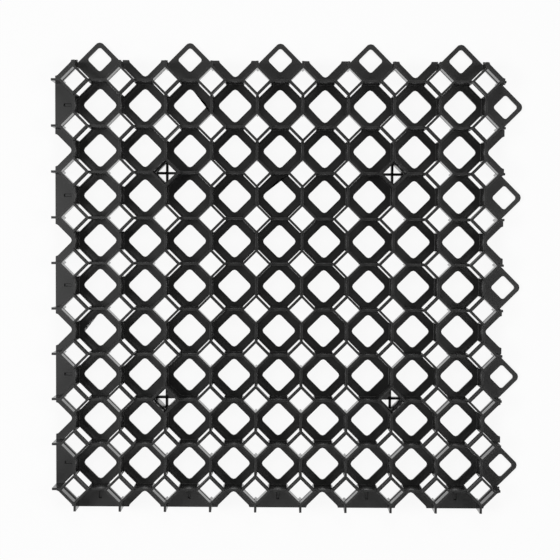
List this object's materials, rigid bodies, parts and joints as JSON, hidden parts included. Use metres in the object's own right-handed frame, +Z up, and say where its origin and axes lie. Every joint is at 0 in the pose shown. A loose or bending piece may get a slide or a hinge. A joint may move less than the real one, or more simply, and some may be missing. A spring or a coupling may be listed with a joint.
{
  "type": "grass paver grid",
  "caption": "Square moulded plastic grid of open eight-sided and diamond cells that reinforces grass or gravel, with side tabs that couple panels together.",
  "frame": {"origin": "middle of the panel's bounding box, tabs included, on the underside that lies on the ground", "axes": "+Z up out of the ground, +X and +Y towards the two sides that carry the coupling tabs"},
  "size_m": [0.5186, 0.5186, 0.04],
  "materials": {
    "paver_plastic": "charcoal black moulded polyolefin, satin sheen on the walls' tops"
  },
  "bodies": {
    "root": {"paver_grid": "paver_plastic"}
  },
  "joints": []
}
